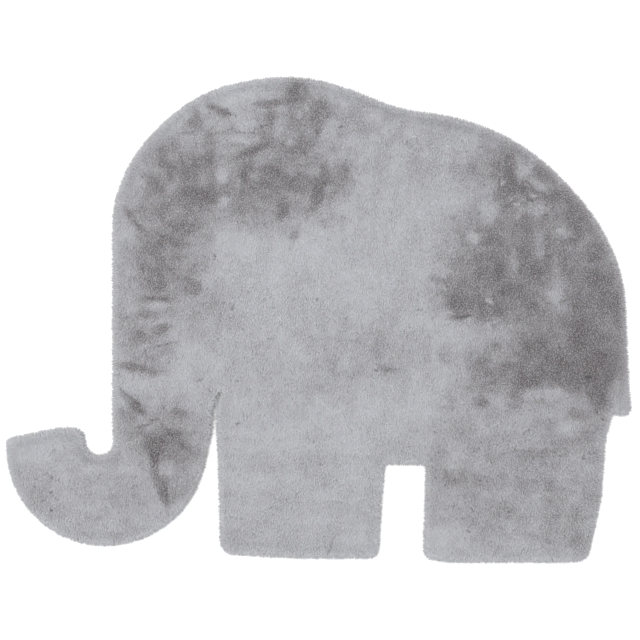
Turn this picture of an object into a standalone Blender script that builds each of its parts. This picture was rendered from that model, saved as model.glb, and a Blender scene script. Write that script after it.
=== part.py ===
"""Kids rug: one piece of long-pile plush, cut as an elephant seen from the side and lying flat.

Metres, +Z up. The origin is on the floor, under the middle of the rug's bounding box. +X runs from the
head to the tail, +Y from the feet to the back, and the pile stands along +Z.
"""

import math

import bmesh
import bpy
from mathutils import Vector

# Cross-section at the cut edge: the backing is cut square, and the pile spreads out over the cut.
BACKING_THICKNESS = 0.002
PLUSH_THICKNESS = 0.022
WIDEST_HEIGHT = 0.010
PILE_OVERHANG = 0.009
TOP_ROUNDING = 0.011
LOWER_STEPS = 3
UPPER_STEPS = 4

# Places along the rug (x) and across it (y) that several corners of the outline share.
HEAD_FRONT_X = -0.3965
HEAD_TOP_Y = 0.4660
TRUNK_BOTTOM_Y = -0.4343
FRONT_SOLE_Y = -0.4585
HIND_SOLE_Y = -0.4660

# Gap between the legs: its middle, its width at the belly and its upper edge.
LEG_GAP_X = 0.1662
LEG_GAP_WIDTH = 0.0778
LEG_GAP_TOP_Y = -0.2785
LEG_GAP_CORNER = 0.005

# Slit between the trunk and the front leg: its closed end, its bend and its mouth.
SLIT_WIDTH = 0.0019
SLIT_END = (-0.1903, -0.1405)
SLIT_BEND = (-0.1994, -0.1688)
SLIT_LEAN = math.radians(18.0)

# Bay inside the hook of the trunk.
HOOK_BAY_X = -0.4192
HOOK_BAY_WIDTH = 0.0528
HOOK_BAY_BOTTOM_Y = -0.2594

# Round stub of a tail.
TAIL_X = 0.6036
TAIL_RADIUS = 0.0177

CHORD_ERROR = 0.0004
FEWEST_ARC_STEPS = 2

PLUSH_COLOUR = (0.407, 0.411, 0.427, 1.0)
PLUSH_ROUGHNESS = 0.95


def outline_corners():
    """The widest outline as a polygon, clockwise from the forehead: name, x, y, rounding radius."""
    slit_side = 0.5 * SLIT_WIDTH
    end_dx = slit_side * math.cos(SLIT_LEAN)
    end_dy = slit_side * math.sin(SLIT_LEAN)
    gap_side = 0.5 * LEG_GAP_WIDTH
    bay_side = 0.5 * HOOK_BAY_WIDTH
    bay_rounding = 0.97 * bay_side
    return (
        ("forehead", HEAD_FRONT_X, 0.2536, 0.243),
        ("brow", -0.3125, 0.3732, 0.370),
        ("crown", -0.2136, 0.4424, 0.262),
        ("poll", -0.1008, HEAD_TOP_Y, 0.360),
        ("neck", -0.0207, HEAD_TOP_Y, 0.270),
        ("mane", 0.0656, 0.4417, 0.650),
        ("nape", 0.1530, 0.4043, 0.280),
        ("withers", 0.2755, 0.3894, 0.434),
        ("back", 0.4061, 0.3330, 0.395),
        ("croup", 0.5386, 0.1959, 0.400),
        ("rump", 0.5871, 0.0761, 0.290),
        ("tail root", 0.5962, -0.1361, 0.096),
        ("tail stub", TAIL_X, -0.1943, TAIL_RADIUS),
        ("under the tail", 0.5635, -0.1803, 0.005),
        ("thigh", 0.5512, -0.2302, 0.115),
        ("hock", 0.5415, -0.3500, 0.134),
        ("hind heel", 0.5155, HIND_SOLE_Y, 0.030),
        ("hind sole", 0.2467, HIND_SOLE_Y, 0.115),
        ("hind toe", 0.1999, -0.4579, 0.021),
        ("gap, hind side", LEG_GAP_X + gap_side, LEG_GAP_TOP_Y, LEG_GAP_CORNER),
        ("gap, front side", LEG_GAP_X - gap_side, LEG_GAP_TOP_Y, LEG_GAP_CORNER),
        ("front heel", 0.1142, FRONT_SOLE_Y, 0.019),
        ("front sole", -0.0355, FRONT_SOLE_Y, 0.384),
        ("front toe", -0.1895, -0.4502, 0.027),
        ("front knee", -0.1933, -0.2782, 0.576),
        ("slit bend, leg side", SLIT_BEND[0] + slit_side, SLIT_BEND[1], 0.038),
        ("slit end, leg side", SLIT_END[0] + end_dx, SLIT_END[1] - end_dy, 0.97 * slit_side),
        ("slit end, trunk side", SLIT_END[0] - end_dx, SLIT_END[1] + end_dy, 0.97 * slit_side),
        ("slit bend, trunk side", SLIT_BEND[0] - slit_side, SLIT_BEND[1], 0.038),
        ("slit mouth", -0.2037, -0.2148, 0.230),
        ("trunk, rear curve", -0.2530, TRUNK_BOTTOM_Y, 0.1955),
        ("trunk, front curve", -0.5994, TRUNK_BOTTOM_Y, 0.1895),
        ("trunk lip", -0.6000, -0.2273, 0.012),
        ("trunk tip", -0.4963, -0.2066, 0.115),
        ("trunk hook", -0.4491, -0.2077, 0.022),
        ("bay, hook side", HOOK_BAY_X - bay_side, HOOK_BAY_BOTTOM_Y, bay_rounding),
        ("bay, head side", HOOK_BAY_X + bay_side, HOOK_BAY_BOTTOM_Y, bay_rounding),
        ("trunk front", HEAD_FRONT_X, -0.2072, 0.115),
    )


def corner_arc(before, corner, after, radius):
    """Points round one corner, each with the unit vector that points into the rug."""
    to_before = (before - corner).normalized()
    to_after = (after - corner).normalized()
    half_angle = 0.5 * to_before.angle(to_after)
    bisector = (to_before + to_after).normalized()
    centre = corner + bisector * radius / math.sin(half_angle)
    start = corner + to_before * radius / math.tan(half_angle) - centre
    convex = to_before.cross(to_after) > 0.0
    sweep = math.pi - 2.0 * half_angle
    widest_radius = radius if convex else radius + max(PILE_OVERHANG, TOP_ROUNDING)
    largest_step = 2.0 * math.acos(1.0 - min(1.0, CHORD_ERROR / widest_radius))
    steps = max(FEWEST_ARC_STEPS, math.ceil(sweep / largest_step))
    turn = -sweep if convex else sweep
    arc = []
    for step in range(steps + 1):
        angle = turn * step / steps
        spoke = Vector((
            start.x * math.cos(angle) - start.y * math.sin(angle),
            start.x * math.sin(angle) + start.y * math.cos(angle),
        ))
        inward = -spoke / radius if convex else spoke / radius
        arc.append((centre + spoke, inward))
    return arc


def rug_outline():
    """The rounded outline as one closed run of (point, inward unit vector)."""
    corners = outline_corners()
    places = [Vector((x, y)) for _name, x, y, _radius in corners]
    outline = []
    for index, (_name, _x, _y, radius) in enumerate(corners):
        after = places[(index + 1) % len(places)]
        outline += corner_arc(places[index - 1], places[index], after, radius)
    return outline


def edge_profile():
    """(height, inset) of each ring, from the floor up over the rounded edge of the pile."""
    lower_rise = WIDEST_HEIGHT - BACKING_THICKNESS
    upper_rise = PLUSH_THICKNESS - WIDEST_HEIGHT
    profile = [(0.0, PILE_OVERHANG)]
    for step in range(LOWER_STEPS):
        angle = 0.5 * math.pi * step / LOWER_STEPS
        height = WIDEST_HEIGHT - lower_rise * math.cos(angle)
        profile.append((height, PILE_OVERHANG * (1.0 - math.sin(angle))))
    for step in range(UPPER_STEPS + 1):
        angle = 0.5 * math.pi * step / UPPER_STEPS
        height = WIDEST_HEIGHT + upper_rise * math.sin(angle)
        profile.append((height, TOP_ROUNDING * (1.0 - math.cos(angle))))
    return profile


def plush_material():
    """Long faux fur of light grey polyester, matt."""
    material = bpy.data.materials.new("Grey polyester plush")
    material.use_nodes = True
    shader = material.node_tree.nodes["Principled BSDF"]
    shader.inputs["Base Color"].default_value = PLUSH_COLOUR
    shader.inputs["Roughness"].default_value = PLUSH_ROUGHNESS
    shader.inputs["Metallic"].default_value = 0.0
    material.diffuse_color = PLUSH_COLOUR
    return material


def plush_rug():
    """The whole rug: rings of the outline joined by strips, with a flat underside and a flat top."""
    outline = rug_outline()
    shape = bmesh.new()
    rings = []
    for height, inset in edge_profile():
        places = [point + inward * inset for point, inward in outline]
        rings.append([shape.verts.new((place.x, place.y, height)) for place in places])
    for below, above in zip(rings, rings[1:]):
        for index, corner in enumerate(below):
            shape.faces.new((below[index - 1], corner, above[index], above[index - 1]))
    shape.faces.new(rings[0])
    shape.faces.new(rings[-1])
    bmesh.ops.recalc_face_normals(shape, faces=shape.faces)
    mesh = bpy.data.meshes.new("plush_rug")
    shape.to_mesh(mesh)
    shape.free()
    mesh.materials.append(plush_material())
    mesh.shade_smooth()
    mesh.set_sharp_from_angle(angle=math.radians(40.0))
    rug = bpy.data.objects.new("plush_rug", mesh)
    bpy.context.collection.objects.link(rug)


for leftover in list(bpy.data.objects):
    bpy.data.objects.remove(leftover)
plush_rug()
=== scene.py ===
import math

import bmesh
import bpy
import numpy as np
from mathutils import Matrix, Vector
from mathutils.geometry import delaunay_2d_cdt


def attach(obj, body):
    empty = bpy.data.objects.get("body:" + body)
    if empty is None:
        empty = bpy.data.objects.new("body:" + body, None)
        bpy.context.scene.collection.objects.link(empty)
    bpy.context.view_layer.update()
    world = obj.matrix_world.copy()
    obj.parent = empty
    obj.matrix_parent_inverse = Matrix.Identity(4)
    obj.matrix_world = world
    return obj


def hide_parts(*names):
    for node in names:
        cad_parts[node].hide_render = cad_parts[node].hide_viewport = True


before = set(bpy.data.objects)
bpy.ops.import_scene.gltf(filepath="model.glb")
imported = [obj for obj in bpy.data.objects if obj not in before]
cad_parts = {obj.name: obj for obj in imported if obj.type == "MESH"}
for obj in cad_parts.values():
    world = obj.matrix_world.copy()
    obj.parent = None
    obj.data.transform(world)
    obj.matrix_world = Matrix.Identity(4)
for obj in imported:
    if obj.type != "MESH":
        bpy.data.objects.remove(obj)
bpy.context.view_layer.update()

toMillimetres = 1000.0
tiny = 1e-9                     # a length that is divided by is held above this


def linearColour(hexCode):
    channels = []
    for start in (1, 3, 5):
        value = int(hexCode[start:start + 2], 16) / 255.0
        channels.append(value / 12.92 if value <= 0.04045 else ((value + 0.055) / 1.055) ** 2.4)
    return (*channels, 1.0)


def addNode(tree, kind, settings=None, values=None, links=None):
    # sockets go by name, or by number where several share one
    node = tree.nodes.new(kind)
    for name, value in (settings or {}).items():
        setattr(node, name, value)
    for socket, value in (values or {}).items():
        node.inputs[socket].default_value = value
    for socket, output in (links or {}).items():
        tree.links.new(output, node.inputs[socket])
    return node


def blend(ends, share):
    return ends[0] + (ends[1] - ends[0]) * share


def smoothStep(low, high, value):
    part = np.clip((value - low) / (high - low), 0.0, 1.0)
    return part * part * (3.0 - 2.0 * part)


noiseSettings = {
    "cells": 512,               # along each side of the lattice of random values, which then repeats
    "offset": 211.0,            # cells between its corner and the middle of the rug
}


def patchyNoise(places, size, seed, octaves=3, keep=0.5):
    # soft value noise from 0 to 1; size is the width of its largest blotches in metres
    total = np.zeros(len(places))
    weight = 1.0
    weights = 0.0
    cells = noiseSettings["cells"]
    for octave in range(octaves):
        lattice = np.random.default_rng(seed + octave).random((cells, cells))
        place = places / (size * 0.5 ** octave) + noiseSettings["offset"]
        cell = np.floor(place).astype(int)
        part = place - cell
        part = part * part * (3.0 - 2.0 * part)
        i, j = cell[:, 0] % (cells - 1), cell[:, 1] % (cells - 1)
        low = lattice[i, j] * (1.0 - part[:, 0]) + lattice[i + 1, j] * part[:, 0]
        high = lattice[i, j + 1] * (1.0 - part[:, 0]) + lattice[i + 1, j + 1] * part[:, 0]
        total += weight * (low * (1.0 - part[:, 1]) + high * part[:, 1])
        weights += weight
        weight *= keep
    return total / weights


# the cut outline is read from the frame's own solid
rugSettings = {
    "node": "plush_rug",
    "widestHeight": 0.010,      # the solid's outline is at its widest here
    "levelWithin": 0.0001,      # of that height
    "mergeGrid": 1e5,           # cells in a metre; corners in the same cell are one corner
    "placesAtOnce": 20000,      # limits the memory that edgeDistance takes
}


def polygonArea(points):
    # positive where they run anticlockwise
    after = np.roll(points, -1, axis=0)
    return 0.5 * np.sum(points[:, 0] * after[:, 1] - after[:, 0] * points[:, 1])


def placesOf(mesh):
    places = np.empty(3 * len(mesh.vertices))
    mesh.vertices.foreach_get("co", places)
    return places.reshape(-1, 3)


def orderedOutline(node, height):
    mesh = node.data
    places = placesOf(mesh)
    cells = np.round(places * rugSettings["mergeGrid"]).astype(np.int64)
    _, index = np.unique(cells, axis=0, return_inverse=True)
    index = index.reshape(-1)
    place = {}
    for own, merged in enumerate(index):
        place.setdefault(merged, places[own])
    neighbours = {}
    for edge in mesh.edges:
        a, b = (index[v] for v in edge.vertices)
        if a != b and all(abs(place[v][2] - height) < rugSettings["levelWithin"] for v in (a, b)):
            neighbours.setdefault(a, set()).add(b)
            neighbours.setdefault(b, set()).add(a)
    start = min(neighbours)
    loop = [start]
    before, here = None, start
    while True:
        after = next(v for v in sorted(neighbours[here]) if v != before)
        if after == start:
            break
        loop.append(after)
        before, here = here, after
    outline = np.array([place[v][:2] for v in loop])
    return outline if polygonArea(outline) > 0.0 else outline[::-1].copy()


def inwardNormals(points):
    # a little longer than 1 at a corner, so that an inset is even all round
    after = np.roll(points, -1, axis=0) - points
    before = points - np.roll(points, 1, axis=0)
    after /= np.linalg.norm(after, axis=1, keepdims=True)
    before /= np.linalg.norm(before, axis=1, keepdims=True)
    normal = np.stack([-(after + before)[:, 1], (after + before)[:, 0]], axis=1)
    length = np.linalg.norm(normal, axis=1, keepdims=True)
    return normal / length * (2.0 / length)


def edgeDistance(points):
    # distance to the cut, positive inside, and the unit vector towards the outside
    start = rugOutline
    along = np.roll(rugOutline, -1, axis=0) - start
    lengthSquared = np.sum(along * along, axis=1)
    distance = np.empty(len(points))
    outward = np.empty((len(points), 2))
    step = rugSettings["placesAtOnce"]
    for first in range(0, len(points), step):
        chunk = points[first:first + step, None, :]
        part = np.clip(np.sum((chunk - start) * along, axis=2) / lengthSquared, 0.0, 1.0)
        gap = start + part[:, :, None] * along - chunk
        gapSquared = np.sum(gap * gap, axis=2)
        nearest = np.argmin(gapSquared, axis=1)
        rows = np.arange(len(nearest))
        away = gap[rows, nearest]
        size = np.sqrt(gapSquared[rows, nearest])
        y = chunk[:, :, 1]
        crosses = (start[:, 1] > y) != (start[:, 1] + along[:, 1] > y)
        rise = np.where(along[:, 1] == 0.0, 1.0, along[:, 1])
        crossingX = start[:, 0] + (y - start[:, 1]) * along[:, 0] / rise
        inside = np.sum(crosses & (chunk[:, :, 0] < crossingX), axis=1) % 2 == 1
        sign = np.where(inside, 1.0, -1.0)
        distance[first:first + step] = sign * size
        outward[first:first + step] = sign[:, None] * away / np.maximum(size, tiny)[:, None]
    return distance, outward


rugOutline = orderedOutline(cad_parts[rugSettings["node"]], rugSettings["widestHeight"])
outlineInward = inwardNormals(rugOutline)
print(f"outline: {len(rugOutline)} corners, {polygonArea(rugOutline):.3f} square metres")


# nap: where the pile is brushed up its tufts stand up and its colours are painted darker, as the shade deep
# in the open pile
napSettings = {
    "ground": 0.07,             # tone of pile that is stroked flat
    "strength": 0.85,           # of one patch whose tone is 1
    "wander": (0.020, 0.034),   # how far the edges of the patches wander, and over what width
    "wanderSeeds": (11, 31),
    "fineWander": (0.014, 0.012),
    "fineWanderSeeds": (51, 71),
    "wholeWander": 24.0,        # patches narrower than this, in millimetres, wander less
    "soft": (0.4, 1.5),         # a patch fades out between these shares of its size
    "mottle": (0.026, 1.1, 5),  # width of the blotches in the half-brushed pile, their strength and seed
    "mottleShare": (0.1, 2.6),  # how much of them shows everywhere, and what is added towards half brushed
    "cloud": (0.060, 0.22, 95),     # broad blotches all over: width, strength and seed
    "streak": (0.016, 0.18),    # the cloth was rolled: faint streaks down the body and across the legs
    "streakSeeds": (66, 61),
    "streakSqueeze": 0.22,      # the noise is squeezed this much along a streak
    "legStreak": (1.6, 1.5),    # times stronger and times wider on the legs
    "legs": (-0.150, -0.210),   # body above the first of these, legs below the second
    "rim": (-0.001, 0.009),     # the nap and its painted shade fade out towards the cut here, so the turned pile is painted light
    "gapReach": (0.8, 3.4),     # a gap closes between these distances from its line, in millimetres
}

# x, y, half length, half width in millimetres, turn in degrees, tone
napRegions = (
    # head
    (-190, 300, 130, 85, 15, 0.42),
    (-60, 290, 115, 100, 0, 0.38),
    (-25, 410, 58, 44, -10, 0.28),
    (-280, 190, 70, 115, 8, 0.38),
    (-160, 215, 100, 50, 0, 0.26),
    (-355, 140, 45, 110, 0, 0.22),
    # trunk
    (-285, 75, 75, 65, 0, 0.42),
    (-205, 0, 40, 60, 0, 0.16),
    (-322, -35, 58, 70, 0, 0.42),
    (-298, -215, 78, 66, -25, 0.58),
    (-262, -300, 50, 70, 0, 0.28),
    (-440, -345, 180, 95, 0, 0.17),
    # mane
    (60, 390, 110, 45, -15, 0.2),
    (110, 300, 90, 90, 0, 0.1),
    (250, 320, 70, 70, 0, 0.2),
    # belly
    (-60, -70, 130, 130, 0, 0.1),
    (110, -60, 120, 100, 0, 0.17),
    # rump
    (335, 285, 52, 75, 0, 0.38),
    (462, 170, 130, 155, 0, 0.74),
    (475, 20, 130, 85, 0, 0.84),
    (510, -78, 110, 74, 0, 0.9),
    (385, -88, 112, 68, 0, 0.68),
    (385, 290, 70, 55, -30, 0.42),
    (303, 48, 80, 55, 0, 0.88),
    (312, 142, 82, 64, 0, 0.55),
    # leg
    (400, -300, 200, 150, 0, 0.39),
    (0, -370, 200, 110, 0, 0.07),
)

# the same columns; a tone below zero is pile stroked flat inside a dark region
napPatches = (
    # head
    (-36, 430, 24, 24, 0, 0.7),
    (-88, 414, 36, 8, 8, 0.65),
    (-90, 388, 10, 20, 0, 0.65),
    (-188, 400, 27, 9, -22, 0.75),
    (-235, 376, 18, 20, 0, 0.5),
    (0, 384, 14, 40, 0, 0.5),
    (-22, 355, 26, 40, 0, 0.45),
    (-135, 318, 36, 9, 22, 0.85),
    (-219, 305, 32, 15, 15, 0.75),
    (-235, 285, 18, 12, 0, 0.5),
    (-303, 310, 16, 20, 0, 0.5),
    (-312, 255, 24, 24, 0, 0.65),
    (-253, 272, 12, 18, 0, 0.65),
    (-215, 231, 24, 20, 0, 0.9),
    (-240, 247, 30, 10, 0, 0.6),
    (-141, 280, 13, 20, 0, 0.75),
    (-90, 281, 26, 12, -15, 0.85),
    (-58, 260, 52, 15, 0, 0.8),
    (-65, 235, 100, 38, 0, 0.35),
    (12, 275, 13, 22, 0, 0.75),
    (42, 266, 20, 34, 0, 0.6),
    (-2, 238, 13, 30, 0, 0.85),
    (-67, 214, 12, 18, 0, 0.75),
    (-35, 320, 30, 22, 0, 0.4),
    (30, 190, 25, 20, 0, 0.3),
    (-48, 166, 14, 14, 0, 0.6),
    (-256, 176, 30, 12, 0, 0.65),
    (-352, 187, 30, 7, -52, 0.6),
    (-300, 213, 12, 16, 0, 0.6),
    (-282, 150, 22, 10, 0, 0.55),
    (-285, 75, 48, 36, 0, 0.45),
    (-245, 60, 20, 14, 0, 0.7),
    (-300, 66, 12, 18, 0, 0.55),
    (-308, 40, 26, 6, 0, 0.8),
    (14, 403, 26, 25, 0, 0.4),
    (-270, 215, 70, 115, 0, 0.3),
    (-143, 343, 38, 7, -3, -0.85),
    (-143, 384, 26, 15, 0, -0.8),
    (-196, 372, 27, 11, 0, -0.7),
    (-183, 276, 11, 17, 0, -0.95),
    (-182, 226, 14, 8, 0, -0.8),
    # trunk
    (-323, 8, 26, 9, 0, 0.7),
    (-299, -18, 16, 12, 0, 0.85),
    (-343, -35, 15, 15, 0, 0.75),
    (-350, -92, 46, 9, -6, 0.8),
    (-350, -165, 30, 9, -38, 0.7),
    (-266, -180, 30, 12, 0, 0.45),
    (-275, -217, 18, 9, 0, 0.9),
    (-308, -243, 22, 20, 0, 0.85),
    (-314, -275, 11, 20, 0, 0.65),
    (-294, -328, 8, 28, 0, 0.75),
    (-262, -328, 16, 22, 0, 0.35),
    (-300, 27, 24, 5, 0, -0.6),
    (-374, 4, 20, 28, 0, 0.35),
    (-318, -105, 16, 8, 0, 0.5),
    (-287, -345, 11, 22, 0, 0.5),
    (-356, -161, 38, 8, -46, 0.6),
    (-366, -178, 22, 14, -20, 0.4),
    (-300, -232, 50, 26, -10, 0.4),
    (-261, -178, 24, 8, -20, 0.5),
    (-304, -318, 54, 8, -72, 0.6),
    # belly
    (117, -52, 14, 26, 0, 0.35),
    (130, -96, 18, 12, 0, 0.5),
    (89, -163, 10, 45, 0, -0.5),
    # rump
    (366, 285, 12, 34, 0, 0.56),
    (345, 275, 14, 24, 0, 0.34),
    (430, 281, 25, 14, -42, 0.71),
    (350, 234, 14, 20, 0, 0.56),
    (395, 246, 34, 12, 0, 0.45),
    (462, 236, 26, 20, 0, 0.56),
    (398, 185, 14, 34, 0, 0.49),
    (360, 180, 24, 16, 0, 0.38),
    (325, 150, 16, 12, 0, 0.45),
    (509, 178, 22, 24, 0, 0.64),
    (486, 203, 22, 22, 0, 0.49),
    (526, 128, 24, 16, 0, 0.68),
    (543, 78, 26, 22, 0, 0.71),
    (402, 92, 24, 12, 0, 0.64),
    (315, 118, 45, 12, 0, 0.3),
    (313, 92, 16, 14, 0, 0.56),
    (348, 92, 12, 14, 0, 0.56),
    (255, 73, 26, 9, 0, 0.56),
    (385, 120, 85, 45, 0, 0.38),
    (328, 16, 34, 18, -10, 0.68),
    (264, 38, 16, 20, 0, 0.56),
    (270, 5, 26, 6, 5, 0.68),
    (401, 40, 14, 22, 0, 0.38),
    (540, 28, 45, 30, 0, 0.52),
    (392, 291, 14, 20, 0, -0.5),
    (424, 252, 22, 9, -40, -0.5),
    (426, 213, 26, 14, 0, -0.6),
    (330, 198, 11, 20, -25, -0.6),
    (296, 155, 14, 11, 0, -0.9),
    (463, 163, 14, 8, 0, -0.7),
    (455, 60, 10, 55, 0, -0.4),
    (374, 110, 8, 26, 0, -0.35),
    (425, 140, 8, 30, 0, -0.3),
    (223, 77, 14, 9, 0, 0.5),
    (242, -60, 16, 24, 0, 0.35),
    (585, -23, 10, 30, 0, 0.5),
    (410, 237, 8, 4, -30, -0.9),
    (378, 221, 5, 4, 0, -0.8),
    (461, 260, 7, 4, 20, -0.9),
    (460, 170, 8, 4, 10, -0.7),
    (327, 35, 8, 4, -30, -0.8),
    (540, -158, 20, 32, 0, 0.75),
    (452, 20, 28, 70, 0, -0.3),
    (352, 262, 5, 6, 0, -0.6),
    # hip
    (505, -22, 26, 26, 0, 0.6),
    (530, -80, 48, 34, 0, 0.68),
    (538, -130, 22, 28, 0, 0.68),
    (421, -58, 30, 36, 0, 0.6),
    (365, -88, 26, 9, 0, 0.56),
    (385, -116, 26, 12, 0, 0.56),
    (440, -112, 60, 12, 0, 0.45),
    (492, -130, 34, 16, 0, 0.45),
    (384, -152, 17, 24, 0, 0.6),
    (311, -160, 20, 13, 0, 0.52),
    (308, -98, 16, 22, 0, 0.45),
    (245, -162, 20, 16, 0, 0.26),
    (436, -144, 44, 13, 0, -0.8),
    (344, -30, 30, 16, 0, -0.5),
    # leg
    (500, -183, 26, 12, 0, 0.5),
    (520, -215, 26, 22, 0, 0.45),
    (262, -300, 34, 14, 0, 0.3),
    (505, -430, 25, 20, 0, 0.3),
    (440, -252, 90, 5, 0, 0.3),
    (470, -312, 90, 6, 0, 0.22),
    (420, -378, 110, 6, 0, 0.18),
)

# small gaps where the pile parts: x, y, half length in millimetres, turn in degrees, depth
pileGaps = (
    # head
    (-166, 392, 8, -25, 0.8),
    (-104, 370, 5, 10, 1.0),
    (-140, 357, 16, 0, 0.5),
    (44, 368, 5, 20, 0.7),
    (-7, 310, 4, -40, 0.4),
    (-280, 291, 7, 0, 0.6),
    (-298, 160, 5, 0, 0.7),
    (-143, 435, 4, 90, 0.5),
    (-258, 356, 12, 0, 0.4),
    (-348, 182, 6, -50, 0.6),
    (-225, 372, 5, 80, 0.6),
    (-175, 243, 4, 0, 0.6),
    (-192, 225, 2, 0, 0.6),
    (-3, 358, 4, 90, 0.5),
    (-199, 118, 4, 90, 0.7),
    (-322, 40, 5, 0, 0.7),
    (-295, 40, 3, 0, 0.5),
    # trunk
    (-356, 31, 2, 0, 0.5),
    (-299, -49, 30, 12, 0.35),
    (-330, -68, 10, -70, 0.4),
    (-228, -116, 6, 15, 0.8),
    (-197, -42, 7, 35, 0.7),
    (-368, -143, 14, -40, 0.6),
    (-350, -158, 8, -30, 0.6),
    (-335, -203, 14, 15, 0.7),
    (-314, -192, 8, 10, 0.6),
    (-300, -203, 8, -50, 0.5),
    (-386, -107, 8, 5, 0.4),
    (-341, -177, 3, 0, 0.7),
    (-262, -240, 5, -50, 0.7),
    (-291, -332, 10, 90, 0.4),
    # trunk tip
    (-511, -301, 2, 90, 0.8),
    (-497, -308, 2, 90, 0.6),
    (-513, -331, 2, 0, 0.7),
    (-527, -347, 5, 30, 0.9),
    (-500, -345, 2, 0, 0.6),
    (-511, -366, 1, 0, 0.5),
    # belly
    (-165, 22, 4, 90, 0.8),
    (-85, 22, 3, 0, 0.6),
    (-45, 38, 1, 0, 0.6),
    (-3, 38, 1, 0, 0.7),
    (65, -42, 6, -20, 0.4),
    (111, -98, 2, 0, 0.7),
    (131, -97, 4, 0, 0.7),
    (-154, -199, 3, 20, 0.7),
    # leg
    (5, -277, 2, 0, 0.6),
    (-162, -288, 2, 0, 0.5),
    (-87, -360, 4, -10, 0.6),
    (23, -434, 13, 72, 0.5),
    (400, -213, 4, 0, 0.4),
    (355, -257, 5, 15, 0.5),
    (507, -263, 4, 80, 0.6),
    (524, -257, 7, 5, 0.6),
    (430, -262, 50, 0, 0.3),
    (285, -405, 2, 0, 0.5),
    (440, -428, 3, 0, 0.6),
    # rump
    (309, 330, 3, 0, 0.6),
    (346, 262, 8, 90, 0.6),
    (345, 295, 12, 90, 0.35),
    (360, 308, 6, 70, 0.6),
    (393, 252, 3, 0, 0.8),
    (405, 257, 12, -45, 0.7),
    (425, 243, 8, -15, 0.6),
    (450, 239, 8, 10, 0.5),
    (404, 228, 3, 0, 0.8),
    (374, 225, 4, 0, 0.8),
    (398, 210, 22, 90, 0.35),
    (436, 200, 3, 0, 0.7),
    (308, 203, 4, 30, 0.6),
    (255, 196, 5, -30, 0.6),
    (275, 148, 5, 80, 0.5),
    (487, 153, 5, -20, 0.7),
    (460, 160, 7, -20, 0.5),
    (440, 122, 10, 10, 0.5),
    (242, 70, 8, -60, 0.5),
    (468, 35, 8, 20, 0.6),
    (500, 52, 8, 45, 0.6),
    (278, 5, 11, 8, 0.8),
    (324, -3, 6, 0, 0.9),
    (342, 18, 3, 0, 0.8),
    (193, 18, 5, 0, 0.7),
    (548, 12, 3, 0, 0.7),
    # hip
    (460, -50, 4, 90, 0.6),
    (508, -47, 3, 0, 0.7),
    (516, -110, 4, 0, 0.9),
    (311, -164, 7, -20, 0.6),
    (532, -178, 5, -60, 1.0),
    (545, -191, 6, -25, 1.0),
)


def alongAndAcross(places, x, y, turn):
    # measured from a line through x, y that is turned by so many degrees
    cosine, sine = math.cos(math.radians(turn)), math.sin(math.radians(turn))
    dx, dy = places[:, 0] - x, places[:, 1] - y
    return dx * cosine + dy * sine, dy * cosine - dx * sine


def gapDepth(places):
    depth = np.zeros(len(places))
    for x, y, halfLength, turn, amount in pileGaps:
        along, across = alongAndAcross(places * toMillimetres, x, y, turn)
        away = np.hypot(np.maximum(np.abs(along) - halfLength, 0.0), across)
        depth = np.maximum(depth, amount * (1.0 - smoothStep(*napSettings["gapReach"], away)))
    return depth


def napTone(places):
    strayed = np.zeros(places.shape)
    for (wander, width), seeds, octaves in (
        (napSettings["wander"], napSettings["wanderSeeds"], 3),
        (napSettings["fineWander"], napSettings["fineWanderSeeds"], 2),
    ):
        noise = [patchyNoise(places, width, seed, octaves) - 0.5 for seed in seeds]
        strayed += wander * np.stack(noise, axis=1)
    clear = np.ones(len(places))
    flattened = np.ones(len(places))
    for x, y, halfLength, halfWidth, turn, tone in napRegions + napPatches:
        stray = toMillimetres * min(1.0, min(halfLength, halfWidth) / napSettings["wholeWander"])
        along, across = alongAndAcross(places * toMillimetres + stray * strayed, x, y, turn)
        reach = np.hypot(along / halfLength, across / halfWidth)
        weight = 1.0 - smoothStep(*napSettings["soft"], reach)
        if tone > 0.0:
            clear *= 1.0 - napSettings["strength"] * tone * weight
        else:
            flattened *= 1.0 + tone * weight
    brushed = (1.0 - clear) * flattened
    legs = 1.0 - smoothStep(napSettings["legs"][1], napSettings["legs"][0], places[:, 1])
    width, strength = napSettings["streak"]
    stronger, wider = napSettings["legStreak"]
    squeeze = napSettings["streakSqueeze"]
    bodySeed, legSeed = napSettings["streakSeeds"]
    bodyNoise = patchyNoise(places * (1.0, squeeze), width, bodySeed, keep=0.6) - 0.5
    legNoise = patchyNoise(places * (squeeze, 1.0), wider * width, legSeed, keep=0.6) - 0.5
    streaks = (1.0 - legs) * bodyNoise + stronger * legs * legNoise
    tone = blend((napSettings["ground"], 1.0), brushed) + strength * streaks
    width, strength, seed = napSettings["mottle"]
    everywhere, halfBrushed = napSettings["mottleShare"]
    blotches = patchyNoise(places, width, seed, octaves=4, keep=0.65) - 0.5
    tone += strength * blotches * (everywhere + halfBrushed * brushed * (1.0 - brushed))
    width, strength, seed = napSettings["cloud"]
    tone += strength * (patchyNoise(places, width, seed, keep=0.6) - 0.5)
    return np.clip(tone, 0.0, 1.0)


# the plush cloth itself, as thick as its packed pile
peltSettings = {
    "profile": (                # height and inset from the widest outline, from the floor up
        (0.0, 0.0090),
        (0.0016, 0.0090),
        (0.0040, 0.0070),
        (0.0080, 0.0058),
        (0.0116, 0.0070),
        (0.0138, 0.0098),
    ),
    "crownRise": 0.0032,        # the middle stands this much above the last of those
    "crownWidth": 0.035,
    "relief": 0.0008,
    "reliefWidth": 0.030,
    "reliefSeed": 91,
    "brushedDrop": 0.0038,      # brushed-up pile opens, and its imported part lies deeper
    "topSpacing": 0.006,        # between the corners of its faces
    "undersideSpacing": 0.030,
    "spacingJitter": 0.18,
    "spacingSeed": 400,
}


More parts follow.
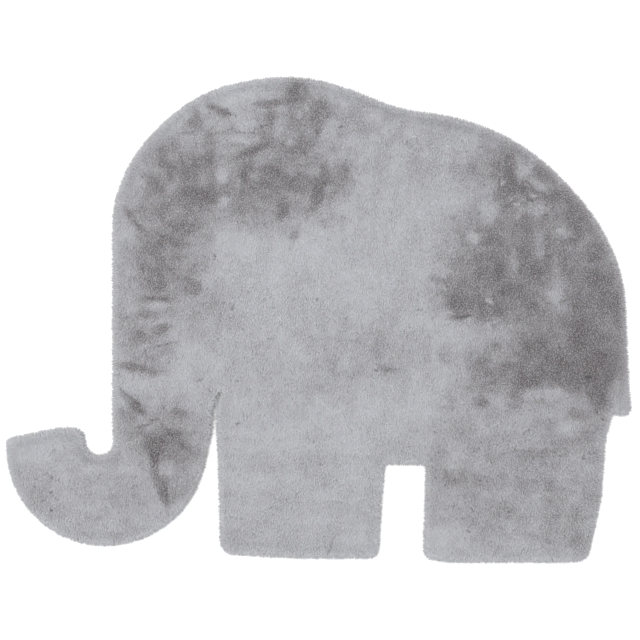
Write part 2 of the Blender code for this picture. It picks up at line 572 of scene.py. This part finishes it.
def peltHeight(places, distance, nap):
    heights = np.array([row[0] for row in peltSettings["profile"]])
    insets = np.array([row[1] for row in peltSettings["profile"]])
    widest = int(np.argmin(insets))
    height = np.interp(distance, insets[widest:], heights[widest:])
    crown = smoothStep(insets[-1], peltSettings["crownWidth"], distance)
    noise = patchyNoise(places, peltSettings["reliefWidth"], peltSettings["reliefSeed"])
    relief = peltSettings["relief"] * (noise - 0.5) * 2.0
    return height + crown * (peltSettings["crownRise"] + relief - peltSettings["brushedDrop"] * nap)


def hexGrid(spacing, jitter, seed):
    lowest, highest = rugOutline.min(axis=0), rugOutline.max(axis=0)
    rowStep = spacing * math.sqrt(0.75)
    columns = int((highest[0] - lowest[0]) / spacing) + 2
    rows = int((highest[1] - lowest[1]) / rowStep) + 2
    row, column = np.mgrid[0:rows, 0:columns]
    x = lowest[0] + spacing * (column + 0.5 * (row % 2))
    y = lowest[1] + rowStep * row
    grid = np.stack([x.ravel(), y.ravel()], axis=1)
    return grid + np.random.default_rng(seed).uniform(-jitter, jitter, grid.shape) * spacing


def filledRing(ring, inset, spacing, seed):
    # triangles over the inside of one ring, with points of their own in the middle
    inner = hexGrid(spacing, peltSettings["spacingJitter"], seed)
    distance, _ = edgeDistance(inner)
    inner = inner[distance > inset + 0.5 * spacing]
    places = [Vector(place) for place in np.vstack([ring, inner]).tolist()]
    edges = [(index, (index + 1) % len(ring)) for index in range(len(ring))]
    onlyInside = 1
    sameWithin = 1e-7
    found, _, faces, sources, _, _ = delaunay_2d_cdt(places, edges, [], onlyInside, sameWithin)
    return found, faces, sources


def plushPelt():
    profile = peltSettings["profile"]
    pileSide, backSide = 0, 1   # the order of its materials
    shape = bmesh.new()
    rings = []
    for height, inset in profile:
        ring = rugOutline + inset * outlineInward
        rings.append([shape.verts.new((x, y, height)) for x, y in ring])
    for below, above in zip(rings, rings[1:]):
        for index in range(len(below)):
            face = shape.faces.new((below[index - 1], below[index], above[index], above[index - 1]))
            face.material_index = backSide if below is rings[0] else pileSide
    for level, spacing, side in (
        (0, peltSettings["undersideSpacing"], backSide),
        (-1, peltSettings["topSpacing"], pileSide),
    ):
        ring = rings[level]
        flat = np.array([corner.co[:2] for corner in ring])
        seed = peltSettings["spacingSeed"] + side
        found, faces, sources = filledRing(flat, profile[level][1], spacing, seed)
        places = np.array([place[:] for place in found])
        distance, _ = edgeDistance(places)
        heights = np.zeros(len(places))
        if side == pileSide:
            heights = peltHeight(places, distance, napTone(places))
        corners = []
        for index, source in enumerate(sources):
            onRing = [number for number in source if number < len(ring)]
            corners.append(ring[onRing[0]] if onRing else shape.verts.new((*places[index], heights[index])))
        for face in faces:
            made = shape.faces.new([corners[index] for index in face])
            made.material_index = side
    bmesh.ops.recalc_face_normals(shape, faces=shape.faces)
    for face in shape.faces:
        face.smooth = face.material_index == pileSide
    mesh = bpy.data.meshes.new("plushPelt")
    shape.to_mesh(mesh)
    shape.free()
    places = placesOf(mesh)[:, :2]
    distance, _ = edgeDistance(places)
    tone = napTone(places) * smoothStep(*napSettings["rim"], distance)
    nap = mesh.attributes.new("nap", "FLOAT", "POINT")
    nap.data.foreach_set("value", tone.astype(np.float32))
    pelt = bpy.data.objects.new("plushPelt", mesh)
    bpy.context.scene.collection.objects.link(pelt)
    return pelt


pelt = plushPelt()
print(f"pelt: {len(pelt.data.polygons)} faces")


# the pile is tufts of fibre, each a closed spindle that is bent once
# a pair of values is for pile that lies flat and for pile that is brushed up, unless it says otherwise
pileSettings = {
    "seed": 2024,
    "gridSeed": 77,
    "spacing": 0.0026,
    "jitter": 0.38,
    "nearestCut": 0.0062,       # the rim has its own tufts nearer than this
    "rootDepth": (0.0031, 0.0022),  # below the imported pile
    "length": 0.0098,
    "lengthSpread": 0.14,
    "brushedShorter": 0.18,
    "girth": 0.00135,
    "girthSpread": 0.12,
    "thickness": 0.8,           # of a tuft, as a share of its girth
    "bendAt": 0.44,
    "bending": (0.6, 1.28),     # shares of the lean below the bend and above it
    "mostBent": 96.0,           # degrees from upright
    "lean": (54.0, 20.0),       # degrees from upright
    "leanSpread": (7.0, 16.0),
    "mostLean": 0.97,           # the sine of it
    "flow": -90.0,              # the nap runs from the back down to the feet
    "flowSpread": (16.0, 32.0),
    "wander": (71.5, 0.070, 131),   # how many degrees the nap strays, over what width, and the seed
    "fineWander": (55.0, 0.016, 151),
    "clumpSpacing": 0.0040,
    "clumpSeed": 8,
    "clumpCells": 1024,         # along each side of the pattern of clumps, which then repeats
    "clumpJitter": (0.1, 0.9),  # a clump's middle lies between these shares of its cell
    "clumpPull": 0.22,
    "clumpBend": 0.4,           # share of the pull that reaches the bend
    "edgePull": 0.6,            # share of the pull that is left at the cut
    "softening": (5.0, 1.8),    # how far the normals lean towards the top
    "shadeSpread": 0.26,
    "paintedShadeSpecks": 0.07,             # share of the tufts painted darker, as the shade of tufts that lie deeper: dark specks
    "speckPaintedShade": (1.2, 2.8),   # the least and the most of that painted shade
    "uneven": (0.5, 1.6, 1.15),     # spread of the shades when flat, its rise, and the nap that ends it
    "tipShift": (0.0, -0.0035),     # x and y from a root to its tip, where the tone is read
    "gapSink": 0.003,
    "gapBend": 0.6,             # share of the sinking that reaches the bend
    # painted shade on the tufts where the pile parts
    "gapPaintedShade": 4.6,
    "edgePaintedLight": (0.003, 0.022),    # the rim's painted light fades out between these distances from the cut
    "edgeTurn": (0.002, 0.026),     # and the pile turns over between these
    "edgeWander": (0.6, 1.4),   # the turn strays between these shares of its distance
    "edgeWanderWidth": 0.030,
    "edgeWanderSeed": 171,
    "edgeLean": 52.0,
    "edgeFacing": 0.15,         # how far the normals lean outwards there
    "edgeReach": (-0.002, 0.0012),  # tips are held back to between these distances inside the cut
    "edgeHold": 0.03,           # if the tufts stand this near to it
    # painted light added to the tufts near the cut and on the rim
    "rimPaintedLight": 0.50,
    "partingPaintedLight": 1.3,        # painted light that evens out the shadow where the turned pile meets the rest
    "partingSplay": 2.4,        # tufts are stouter there, and close the parting
    "envelope": (0.0085, 0.0125, 0.011),    # height at the cut, rise above it, and over what width
    "topSpread": 0.0005,
    "bendBelow": 0.0012,        # the envelope
}

rimSettings = {
    "seed": 515,
    "spacing": 0.0021,
    "jitter": 0.4,
    "rows": (                   # height and inset of the roots, height of the tips and their inset
        (0.0016, 0.0086, 0.0006, 0.0),
        (0.0036, 0.0076, 0.0024, 0.0),
        (0.0056, 0.0068, 0.0044, 0.0),
        (0.0074, 0.0070, 0.0062, 0.0),
        (0.0088, 0.0076, 0.0078, 0.0002),
        (0.0100, 0.0086, 0.0094, 0.0006),
        (0.0110, 0.0100, 0.0112, 0.0014),
        (0.0120, 0.0116, 0.0132, 0.0026),
        (0.0128, 0.0134, 0.0152, 0.0044),
    ),
    "rootFurther": 0.002,       # the roots lie this much deeper than the surface of the pelt
    "tipSpread": 0.0015,
    "lowestTip": 0.0006,
    "sideSpread": 0.0016,
    "sideBend": 0.2,            # share of it that the bend adds
    "bendRise": 0.0012,
    "upperFrom": 0.0040,        # rows above this height take on the nap
    "reach": (-0.0042, 0.0040),     # the least and the most past the cut
    "reachBias": 1.45,          # above 1 most tips stay back and a few stand out, so the edge looks soft
    "girth": 0.00115,
    "girthSpread": 0.15,
    "leastNap": 0.05,
    "napShare": 0.75,           # of the nap beside the rim, in its upper rows
    "facing": 0.25,             # how far the normals lean outwards
    "uneven": 0.3,
}


def clumpCentres(places, spacing, seed):
    cells = pileSettings["clumpCells"]
    jitter = np.random.default_rng(seed).uniform(*pileSettings["clumpJitter"], (cells, cells, 2))
    cell = np.floor(places / spacing).astype(int)
    best = np.full(len(places), np.inf)
    centre = np.zeros_like(places)
    for i in (-1, 0, 1):
        for j in (-1, 0, 1):
            other = cell + (i, j)
            candidate = (other + jitter[other[:, 0] % cells, other[:, 1] % cells]) * spacing
            gap = np.sum((candidate - places) ** 2, axis=1)
            closer = gap < best
            best = np.where(closer, gap, best)
            centre[closer] = candidate[closer]
    return centre


def envelope(distance):
    # the highest that the tips stand, which follows the rounded edge of the solid
    low, rise, width = pileSettings["envelope"]
    part = np.clip(distance / width, 0.0, 1.0)
    return low + rise * np.sqrt(np.clip(1.0 - (1.0 - part) ** 2, 0.0, 1.0))


def tuftShade(draw, count, unevenness):
    shade = 0.5 + draw.normal(0.0, pileSettings["shadeSpread"], count) * unevenness
    # a few tufts are painted darker, as specks of shade
    depth = draw.uniform(*pileSettings["speckPaintedShade"], count)
    return shade - depth * (draw.random(count) < pileSettings["paintedShadeSpecks"]) * unevenness


def fieldTufts():
    draw = np.random.default_rng(pileSettings["seed"])
    root = hexGrid(pileSettings["spacing"], pileSettings["jitter"], pileSettings["gridSeed"])
    distance, outward = edgeDistance(root)
    kept = distance > pileSettings["nearestCut"]
    root, distance, outward = root[kept], distance[kept], outward[kept]
    count = len(root)
    nap = napTone(root + pileSettings["tipShift"]) * smoothStep(*napSettings["rim"], distance)
    centre = clumpCentres(root, pileSettings["clumpSpacing"], pileSettings["clumpSeed"])
    stray, width, seed = pileSettings["wander"]
    wander = stray * (patchyNoise(centre, width, seed) - 0.5)
    stray, width, seed = pileSettings["fineWander"]
    wander += stray * (patchyNoise(centre, width, seed, octaves=2) - 0.5) * (1.0 + nap)
    spread = draw.normal(0.0, 1.0, count) * blend(pileSettings["flowSpread"], nap)
    angle = np.radians(pileSettings["flow"] + wander + spread)
    spread = draw.normal(0.0, 1.0, count) * blend(pileSettings["leanSpread"], nap)
    lean = np.radians(blend(pileSettings["lean"], nap) + spread)
    # towards the cut the pile stands up first and then turns over outwards, so that it never parts
    noise = patchyNoise(centre, pileSettings["edgeWanderWidth"], pileSettings["edgeWanderSeed"], octaves=2)
    turning = distance * blend(pileSettings["edgeWander"], noise)
    edge = 1.0 - smoothStep(*pileSettings["edgeTurn"], turning)
    across = np.sin(lean)[:, None] * np.stack([np.cos(angle), np.sin(angle)], axis=1)
    across = (1.0 - edge)[:, None] * across
    across += (edge * math.sin(math.radians(pileSettings["edgeLean"])))[:, None] * outward
    amount = np.linalg.norm(across, axis=1)
    flow = across / np.maximum(amount, tiny)[:, None]
    lean = np.arcsin(np.clip(amount, 0.0, pileSettings["mostLean"]))
    length = pileSettings["length"] * (1.0 + draw.normal(0.0, pileSettings["lengthSpread"], count))
    length *= 1.0 - pileSettings["brushedShorter"] * nap
    base = peltHeight(root, distance, nap) - blend(pileSettings["rootDepth"], nap)
    bendAt = pileSettings["bendAt"]
    below, above = pileSettings["bending"]
    near, far = below * lean, np.minimum(above * lean, math.radians(pileSettings["mostBent"]))
    bend = root + (bendAt * length * np.sin(near))[:, None] * flow
    bendHeight = base + bendAt * length * np.cos(near)
    tip = bend + ((1.0 - bendAt) * length * np.sin(far))[:, None] * flow
    tipHeight = bendHeight + (1.0 - bendAt) * length * np.cos(far)
    pull = pileSettings["clumpPull"] * blend((1.0, pileSettings["edgePull"]), edge)
    shift = (centre - root) * pull[:, None]
    tip += shift
    bend += pileSettings["clumpBend"] * shift
    reach = distance - np.sum((tip - root) * outward, axis=1)
    beyond = np.maximum(draw.uniform(*pileSettings["edgeReach"], count) - reach, 0.0)
    tip -= beyond[:, None] * outward * (distance < pileSettings["edgeHold"])[:, None]
    reach = distance - np.sum((tip - root) * outward, axis=1)
    highest = envelope(reach) + draw.normal(0.0, pileSettings["topSpread"], count)
    tipHeight = np.minimum(tipHeight, highest)
    bendReach = distance - np.sum((bend - root) * outward, axis=1)
    bendHeight = np.minimum(bendHeight, envelope(bendReach) - pileSettings["bendBelow"])
    girth = pileSettings["girth"] * (1.0 + draw.normal(0.0, pileSettings["girthSpread"], count))
    # where the nap meets the turned edge the tufts stand upright and splay, and close the parting
    parting = edge * (1.0 - edge)
    girth *= 1.0 + pileSettings["partingSplay"] * parting * np.clip(1.0 - 2.0 * amount, 0.0, 1.0)
    gap = gapDepth(0.5 * (bend + tip))
    tipHeight -= pileSettings["gapSink"] * gap
    bendHeight -= pileSettings["gapBend"] * pileSettings["gapSink"] * gap
    uneven, more, most = pileSettings["uneven"]
    # each tuft's tone at random, with painted shade where the pile parts
    shade = tuftShade(draw, count, uneven + more * nap * (most - nap)) - pileSettings["gapPaintedShade"] * gap
    # painted light on the tufts near the cut
    shade += pileSettings["rimPaintedLight"] * (1.0 - smoothStep(*pileSettings["edgePaintedLight"], distance))
    # painted light that evens out the shadow at the parting
    shade += pileSettings["partingPaintedLight"] * parting
    facing = np.column_stack([pileSettings["edgeFacing"] * edge[:, None] * outward, np.ones(count)])
    facing *= blend(pileSettings["softening"], nap)[:, None]
    return (
        np.column_stack([root, base]),
        np.column_stack([bend, bendHeight]),
        np.column_stack([tip, tipHeight]),
        girth, nap, shade, draw.uniform(0.0, 2.0 * math.pi, count), facing,
    )


def rimTufts():
    draw = np.random.default_rng(rimSettings["seed"])
    steps = np.linalg.norm(np.roll(rugOutline, -1, axis=0) - rugOutline, axis=1)
    travelled = np.concatenate([[0.0], np.cumsum(steps)])
    closed = np.vstack([rugOutline, rugOutline[:1]])
    closedInward = np.vstack([outlineInward, outlineInward[:1]])
    count = int(travelled[-1] / rimSettings["spacing"])
    step = travelled[-1] / count
    jitter = rimSettings["jitter"]
    least, most = rimSettings["reach"]
    roots, bends, tips, naps, facings = [], [], [], [], []
    for height, inset, highTip, heldBack in rimSettings["rows"]:
        along = np.arange(count) + draw.uniform(-jitter, jitter, count) + draw.random()
        along = along * step % travelled[-1]
        place = np.stack([np.interp(along, travelled, closed[:, axis]) for axis in (0, 1)], axis=1)
        inward = np.stack([np.interp(along, travelled, closedInward[:, axis]) for axis in (0, 1)], axis=1)
        sideways = np.stack([-inward[:, 1], inward[:, 0]], axis=1)
        sideways *= draw.normal(0.0, rimSettings["sideSpread"], count)[:, None]
        past = least + (most - least) * draw.random(count) ** rimSettings["reachBias"] - heldBack
        root = place + inward * (inset + rimSettings["rootFurther"])
        tip = place - inward * past[:, None] + sideways
        tipHeight = highTip + draw.normal(0.0, rimSettings["tipSpread"], count)
        tipHeight = np.maximum(tipHeight, rimSettings["lowestTip"])
        bend = 0.5 * (root + tip) + rimSettings["sideBend"] * sideways
        rise = rimSettings["bendRise"]
        bendHeight = np.maximum(0.5 * (height + tipHeight) + rise, rise)
        roots.append(np.column_stack([root, np.full(count, height)]))
        bends.append(np.column_stack([bend, bendHeight]))
        tips.append(np.column_stack([tip, tipHeight]))
        upper = smoothStep(rimSettings["upperFrom"], peltSettings["profile"][-1][0], height)
        beside = napTone(place + inward * pileSettings["edgeTurn"][1])
        naps.append(rimSettings["leastNap"] + rimSettings["napShare"] * upper * beside)
        facing = np.column_stack([-rimSettings["facing"] * inward, np.ones(count)])
        facings.append(facing * pileSettings["softening"][0])
    root, bend, tip, facing = (np.vstack(rows) for rows in (roots, bends, tips, facings))
    nap = np.concatenate(naps)
    count = len(root)
    girth = rimSettings["girth"] * (1.0 + draw.normal(0.0, rimSettings["girthSpread"], count))
    # the rim tufts carry the same painted light
    shade = tuftShade(draw, count, rimSettings["uneven"]) + pileSettings["rimPaintedLight"]
    return root, bend, tip, girth, nap, shade, draw.uniform(0.0, 2.0 * math.pi, count), facing


# corner 0 is the root, 1 to 3 go round the bend, and 4 is the tip
tuftCorners = 5
tuftFaces = np.array([(0, 2, 1), (0, 3, 2), (0, 1, 3), (4, 1, 2), (4, 2, 3), (4, 3, 1)])
# for each corner of those faces: how far round the tuft it lies, and at its root, bend or tip
tuftAround = np.array([(1, 2, 0), (3, 4, 2), (5, 4, 6), (1, 0, 2), (3, 2, 4), (5, 4, 6)]) / 6.0
tuftAlong = np.array([(0, 1, 1), (0, 1, 1), (0, 1, 1), (2, 1, 1), (2, 1, 1), (2, 1, 1)])
nearlyUpright = 0.001           # a tuft that leans less than this has no side of its own
cellMargin = 0.08               # kept free round each tuft in the map of colours


def tuftMesh(name, root, bend, tip, girth, nap, shade, roll, facing):
    count = len(root)
    axis = tip - root
    axis /= np.linalg.norm(axis, axis=1, keepdims=True)
    side = np.cross(axis, (0.0, 0.0, 1.0))
    sideLength = np.linalg.norm(side, axis=1, keepdims=True)
    side = np.where(sideLength > nearlyUpright, side / np.maximum(sideLength, tiny), (1.0, 0.0, 0.0))
    other = pileSettings["thickness"] * np.cross(axis, side)
    corners = np.empty((count, tuftCorners, 3))
    corners[:, 0] = root
    corners[:, 4] = tip
    for index in range(3):
        angle = roll + 2.0 * math.pi * index / 3.0
        turned = np.cos(angle)[:, None] * side + np.sin(angle)[:, None] * other
        corners[:, 1 + index] = bend + girth[:, None] * turned
    faces = (tuftCorners * np.arange(count))[:, None, None] + tuftFaces[None]
    faceCount = len(tuftFaces) * count
    mesh = bpy.data.meshes.new(name)
    mesh.vertices.add(tuftCorners * count)
    mesh.vertices.foreach_set("co", corners.ravel())
    mesh.loops.add(3 * faceCount)
    mesh.loops.foreach_set("vertex_index", faces.ravel().astype(np.int32))
    mesh.polygons.add(faceCount)
    mesh.polygons.foreach_set("loop_start", np.arange(0, 3 * faceCount, 3, dtype=np.int32))
    mesh.polygons.foreach_set("use_smooth", np.ones(faceCount, dtype=bool))
    mesh.update(calc_edges=True)
    # fibres pass light on to each other, so the normals lean towards the top of the pile
    outwards = corners - bend[:, None, :]
    outwards /= np.maximum(np.linalg.norm(outwards, axis=2, keepdims=True), tiny)
    outwards[:, 0] = 0.0
    outwards += facing[:, None, :]
    outwards /= np.linalg.norm(outwards, axis=2, keepdims=True)
    mesh.normals_split_custom_set_from_vertices(outwards.reshape(-1, 3).tolist())
    for attribute, values in (("nap", nap), ("shade", shade)):
        layer = mesh.attributes.new(attribute, "FLOAT", "POINT")
        layer.data.foreach_set("value", np.repeat(values, tuftCorners).astype(np.float32))
    along = np.array([0.0, pileSettings["bendAt"], 1.0])[tuftAlong]
    strand = np.stack([tuftAround, along], axis=2)
    mesh.uv_layers.new(name="strand")
    mesh.uv_layers["strand"].data.foreach_set("uv", np.tile(strand.ravel(), count).astype(np.float32))
    # every tuft has its own small cell of the map that its colours are kept in
    cells = math.ceil(math.sqrt(count))
    number = np.arange(count)
    cell = np.stack([number % cells, number // cells], axis=1)[:, None, None, :]
    layout = (cell + cellMargin + (1.0 - 2.0 * cellMargin) * strand[None]) / cells
    mesh.uv_layers.new(name="OFBake")
    mesh.uv_layers["OFBake"].data.foreach_set("uv", layout.ravel().astype(np.float32))
    piece = bpy.data.objects.new(name, mesh)
    bpy.context.scene.collection.objects.link(piece)
    return piece


# split across the rug, because one piece holds at most 200,000 triangles: each with its last x
pileParts = (
    ("pileTrunk", -0.280),
    ("pileHead", -0.120),
    ("pileShoulder", 0.035),
    ("pileBelly", 0.200),
    ("pileFlank", 0.365),
    ("pileRump", math.inf),
)

field = fieldTufts()
pilePieces = []
westEnd = -math.inf
for name, eastEnd in pileParts:
    chosen = (field[0][:, 0] > westEnd) & (field[0][:, 0] <= eastEnd)
    westEnd = eastEnd
    pilePieces.append(tuftMesh(name, *(values[chosen] for values in field)))
    print(f"{name}: {np.count_nonzero(chosen)} tufts")
pilePieces.append(tuftMesh("pileRim", *rimTufts()))
print(f"pileRim: {len(pilePieces[-1].data.polygons) // len(tuftFaces)} tufts")


def newMaterial(name, surface):
    material = bpy.data.materials.new(name)
    material.use_nodes = True
    shader = material.node_tree.nodes["Principled BSDF"]
    for socket, value in surface.items():
        shader.inputs[socket].default_value = value
    return material, material.node_tree, shader


plushSettings = {
    "flat": "#A8A9AD",          # tips that lie flat: painted lighter, as the light they catch
    "brushed": "#938F91",       # tips that stand up: painted darker, as the shade between them
    # roots painted darker than the tips, as the shade deep in the pile
    "flatRootPaintedShade": "#A1A1A5",
    "brushedRootPaintedShade": "#575355",
    "rise": (0.25, 0.85),       # the root's painted shade turns into the tip's colour between these shares of the length
    "shadeSpread": 0.08,
    "fibreWidth": 0.00025,      # real fibres are 0.03 mm, too fine to show; drawn eight times coarser
    "fibreRun": 1.6,            # the strands wave this many times from root to tip
    "fibreRelief": 0.0003,
    "reliefStrength": 0.5,
    "surface": {
        "Roughness": 0.85,
        "IOR": 1.5,
        "Specular IOR Level": 0.25,
        "Sheen Weight": 0.3,
        "Sheen Roughness": 0.5,
    },
}


def plushMaterial():
    # crimped polyester fibre, brushed and sheared: soft tips with a faint sheen over roots painted darker,
    # as the shade deep in the pile
    material, tree, shader = newMaterial("Brushed polyester plush pile", plushSettings["surface"])
    nap = addNode(tree, "ShaderNodeAttribute", {"attribute_name": "nap"})
    shade = addNode(tree, "ShaderNodeAttribute", {"attribute_name": "shade"})
    strand = addNode(tree, "ShaderNodeUVMap", {"uv_map": "strand"})
    split = addNode(tree, "ShaderNodeSeparateXYZ", links={"Vector": strand.outputs["UV"]})
    # the root's colour and then the tip's, each between flat pile painted light and brushed-up pile painted
    # dark
    ends = []
    for flat, brushed in (("flatRootPaintedShade", "brushedRootPaintedShade"), ("flat", "brushed")):
        colours = {6: linearColour(plushSettings[flat]), 7: linearColour(plushSettings[brushed])}
        ends.append(addNode(tree, "ShaderNodeMix", {"data_type": "RGBA"}, colours,
                            {"Factor": nap.outputs["Fac"]}).outputs[2])
    lowest, highest = plushSettings["rise"]
    rise = addNode(tree, "ShaderNodeMapRange", {"interpolation_type": "SMOOTHSTEP"},
                   {"From Min": lowest, "From Max": highest}, {"Value": split.outputs["Y"]})
    fibre = addNode(tree, "ShaderNodeMix", {"data_type": "RGBA"}, None,
                    {"Factor": rise.outputs["Result"], 6: ends[0], 7: ends[1]})
    spread = plushSettings["shadeSpread"]
    value = addNode(tree, "ShaderNodeMapRange", {"clamp": False},
                    {"To Min": 1.0 - spread, "To Max": 1.0 + spread}, {"Value": shade.outputs["Fac"]})
    colour = addNode(tree, "ShaderNodeVectorMath", {"operation": "SCALE"}, None,
                     {0: fibre.outputs[2], "Scale": value.outputs["Result"]})
    tree.links.new(colour.outputs["Vector"], shader.inputs["Base Color"])
    across = 2.0 * math.pi * pileSettings["girth"] / plushSettings["fibreWidth"]
    stretched = addNode(tree, "ShaderNodeMapping", None, {"Scale": (across, plushSettings["fibreRun"], 1.0)},
                        {"Vector": strand.outputs["UV"]})
    strands = addNode(tree, "ShaderNodeTexNoise", None, {"Scale": 1.0, "Detail": 2.0},
                      {"Vector": stretched.outputs["Vector"]})
    bump = addNode(tree, "ShaderNodeBump", None,
                   {"Strength": plushSettings["reliefStrength"], "Distance": plushSettings["fibreRelief"]},
                   {"Height": strands.outputs["Fac"]})
    tree.links.new(bump.outputs["Normal"], shader.inputs["Normal"])
    return material


rootSettings = {
    # painted shade between the tufts: where the pile lies flat and where it is brushed up
    "flat": "#A1A2A6",
    "brushed": "#5C595B",
    "grains": 35,               # packed tufts to 100 mm
    "unevenness": 0.15,
    "relief": 0.0006,
    "reliefStrength": 0.6,
    "surface": {"Roughness": 0.95},
}


def rootMaterial():
    # the imported foot of the pile, seen only where the tufts part: rough, and painted darker as the shade
    # between the tufts, darkest where the pile is brushed up
    material, tree, shader = newMaterial("Packed polyester plush root", rootSettings["surface"])
    where = addNode(tree, "ShaderNodeTexCoord")
    noise = addNode(tree, "ShaderNodeTexNoise", None, {"Scale": rootSettings["grains"] / 0.1, "Detail": 3.0},
                    {"Vector": where.outputs["Object"]})
    nap = addNode(tree, "ShaderNodeAttribute", {"attribute_name": "nap"})
    roots = addNode(tree, "ShaderNodeMix", {"data_type": "RGBA"},
                    {6: linearColour(rootSettings["flat"]), 7: linearColour(rootSettings["brushed"])},
                    {"Factor": nap.outputs["Fac"]})
    uneven = rootSettings["unevenness"]
    value = addNode(tree, "ShaderNodeMapRange", None, {"To Min": 1.0 - uneven, "To Max": 1.0 + uneven},
                    {"Value": noise.outputs["Fac"]})
    colour = addNode(tree, "ShaderNodeVectorMath", {"operation": "SCALE"}, None,
                     {0: roots.outputs[2], "Scale": value.outputs["Result"]})
    tree.links.new(colour.outputs["Vector"], shader.inputs["Base Color"])
    bump = addNode(tree, "ShaderNodeBump", None,
                   {"Strength": rootSettings["reliefStrength"], "Distance": rootSettings["relief"]},
                   {"Height": noise.outputs["Fac"]})
    tree.links.new(bump.outputs["Normal"], shader.inputs["Normal"])
    return material


backSettings = {
    # the grooves between the wales are painted darker, as their shade
    "paintedGrooveShade": "#8A898B",
    "wale": "#A9A8AB",
    "waleWidth": 0.003,         # real ones are 1 mm; drawn three times coarser, so that they show
    "wobble": 1.2,
    "relief": 0.0004,
    "reliefStrength": 0.5,
    "surface": {"Roughness": 0.9},
}


def backingMaterial():
    # warp-knitted back of the same cloth: fine upright wales that give it a dull ribbed look, the grooves
    # between them painted darker as their shade
    material, tree, shader = newMaterial("Knitted polyester back", backSettings["surface"])
    where = addNode(tree, "ShaderNodeTexCoord")
    # a wave whose scale is 1 repeats every tenth of pi
    waleScale = 0.1 * math.pi / backSettings["waleWidth"]
    wales = addNode(tree, "ShaderNodeTexWave", {"wave_type": "BANDS", "bands_direction": "X"},
                    {"Scale": waleScale, "Distortion": backSettings["wobble"], "Detail": 2.0},
                    {"Vector": where.outputs["Object"]})
    ramp = addNode(tree, "ShaderNodeValToRGB", links={"Fac": wales.outputs["Fac"]})
    for element, name in zip(ramp.color_ramp.elements, ("paintedGrooveShade", "wale")):
        element.color = linearColour(backSettings[name])
    tree.links.new(ramp.outputs["Color"], shader.inputs["Base Color"])
    bump = addNode(tree, "ShaderNodeBump", None,
                   {"Strength": backSettings["reliefStrength"], "Distance": backSettings["relief"]},
                   {"Height": wales.outputs["Fac"]})
    tree.links.new(bump.outputs["Normal"], shader.inputs["Normal"])
    return material


plush = plushMaterial()
for piece in pilePieces:
    piece.data.materials.append(plush)
    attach(piece, "root")
pelt.data.materials.append(rootMaterial())
pelt.data.materials.append(backingMaterial())
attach(pelt, "root")
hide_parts(rugSettings["node"])
print("materials: plush, root and back")


# floor, light and camera
stageSettings = {
    "floorSize": 12.0,
    "paper": {"Base Color": linearColour("#F4F4F4"), "Roughness": 0.9},
    "keyPower": 78.0,
    "keySize": 2.5,
    "keyPlace": (-0.6, 0.35, 3.3),
    "worldStrength": 1.15,
    "lens": 100.0,
    "sensor": 36.0,
    "height": 3.418,
    "aim": (0.0025, -0.0006),
    "farthest": 50.0,
}

bpy.ops.object.select_all(action="DESELECT")
bpy.ops.mesh.primitive_plane_add(size=stageSettings["floorSize"], location=(0.0, 0.0, 0.0))
floor = bpy.context.active_object
floor.name = "studioFloor"
paper, _, _ = newMaterial("Matt white background paper", stageSettings["paper"])
floor.data.materials.append(paper)

key = bpy.data.lights.new("softboxLight", "AREA")
key.shape = "SQUARE"
key.size = stageSettings["keySize"]
key.energy = stageSettings["keyPower"]
keyObject = bpy.data.objects.new("softboxLight", key)
bpy.context.scene.collection.objects.link(keyObject)
keyObject.location = stageSettings["keyPlace"]
keyObject.rotation_euler = (-Vector(stageSettings["keyPlace"])).to_track_quat("-Z", "Y").to_euler()

world = bpy.data.worlds.new("studioWorld")
world.use_nodes = True
background = world.node_tree.nodes["Background"]
background.inputs["Color"].default_value = (1.0, 1.0, 1.0, 1.0)
background.inputs["Strength"].default_value = stageSettings["worldStrength"]
bpy.context.scene.world = world
bpy.context.scene.view_settings.view_transform = "Standard"

camera = bpy.data.cameras.new("overheadCamera")
camera.lens = stageSettings["lens"]
camera.sensor_width = stageSettings["sensor"]
camera.clip_end = stageSettings["farthest"]
cameraObject = bpy.data.objects.new("overheadCamera", camera)
bpy.context.scene.collection.objects.link(cameraObject)
cameraObject.location = (*stageSettings["aim"], stageSettings["height"])
bpy.context.scene.camera = cameraObject
print("stage: floor, softbox and camera")
